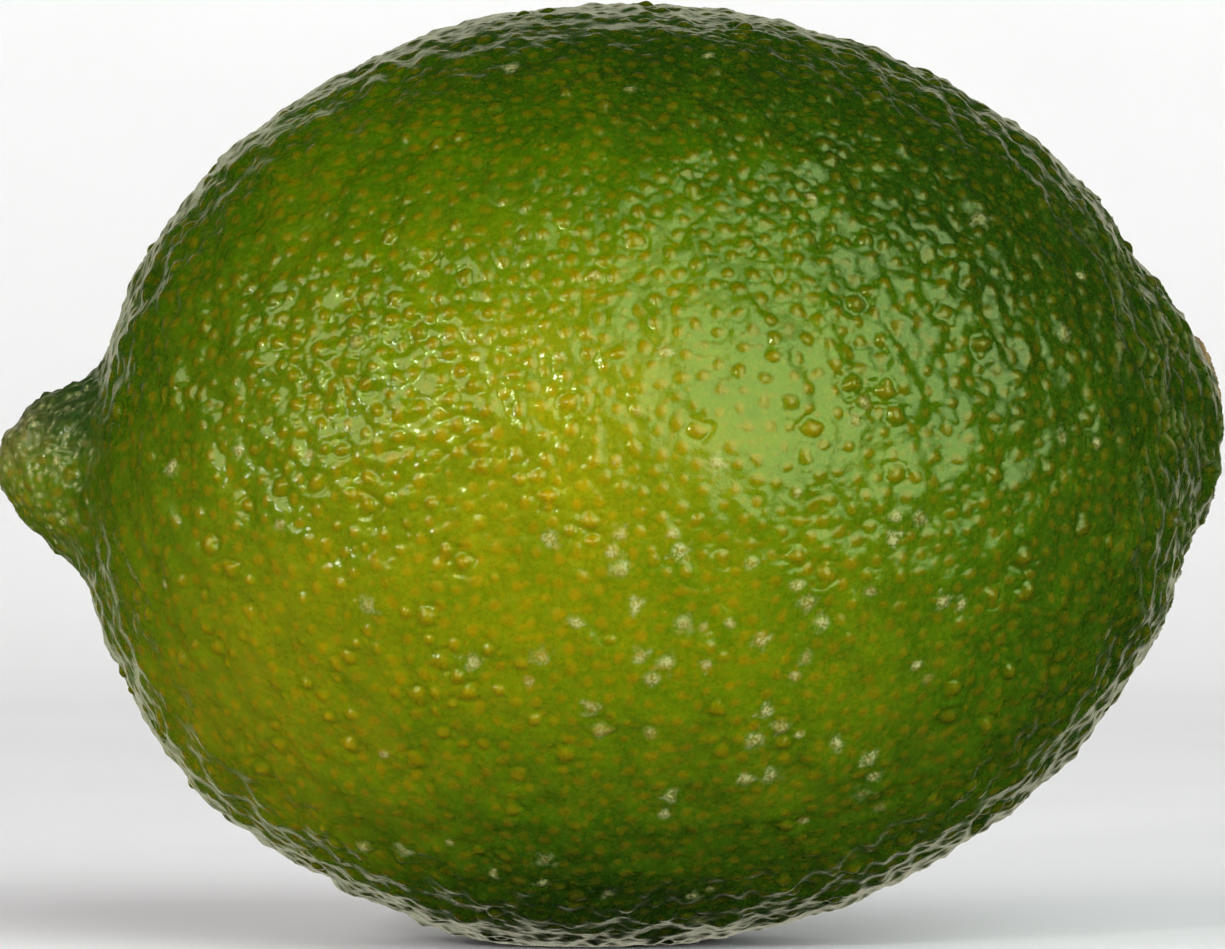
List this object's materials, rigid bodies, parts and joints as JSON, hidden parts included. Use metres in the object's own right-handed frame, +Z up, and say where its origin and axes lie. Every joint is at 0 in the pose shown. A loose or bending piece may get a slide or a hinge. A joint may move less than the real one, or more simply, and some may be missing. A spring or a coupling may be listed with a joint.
{
  "type": "lime",
  "caption": "Whole fresh lime lying on its side, with a blunt nipple at one end and a dried calyx button in a low collar at the other.",
  "frame": {"origin": "on the surface the fruit rests on, under the middle of its bounding box", "axes": "+X from the nipple to the stem end, along the fruit's length; +Z up; +Y away from the viewer"},
  "size_m": [0.0648, 0.0494, 0.0496],
  "materials": {
    "rind": "waxy glossy lime rind, dark green to yellow-green, pebbled with oil glands",
    "calyx": "dry matt tan-brown woody calyx with a darker scar"
  },
  "bodies": {
    "root": {"lime_fruit": "rind", "stem_button": "calyx"}
  },
  "joints": []
}
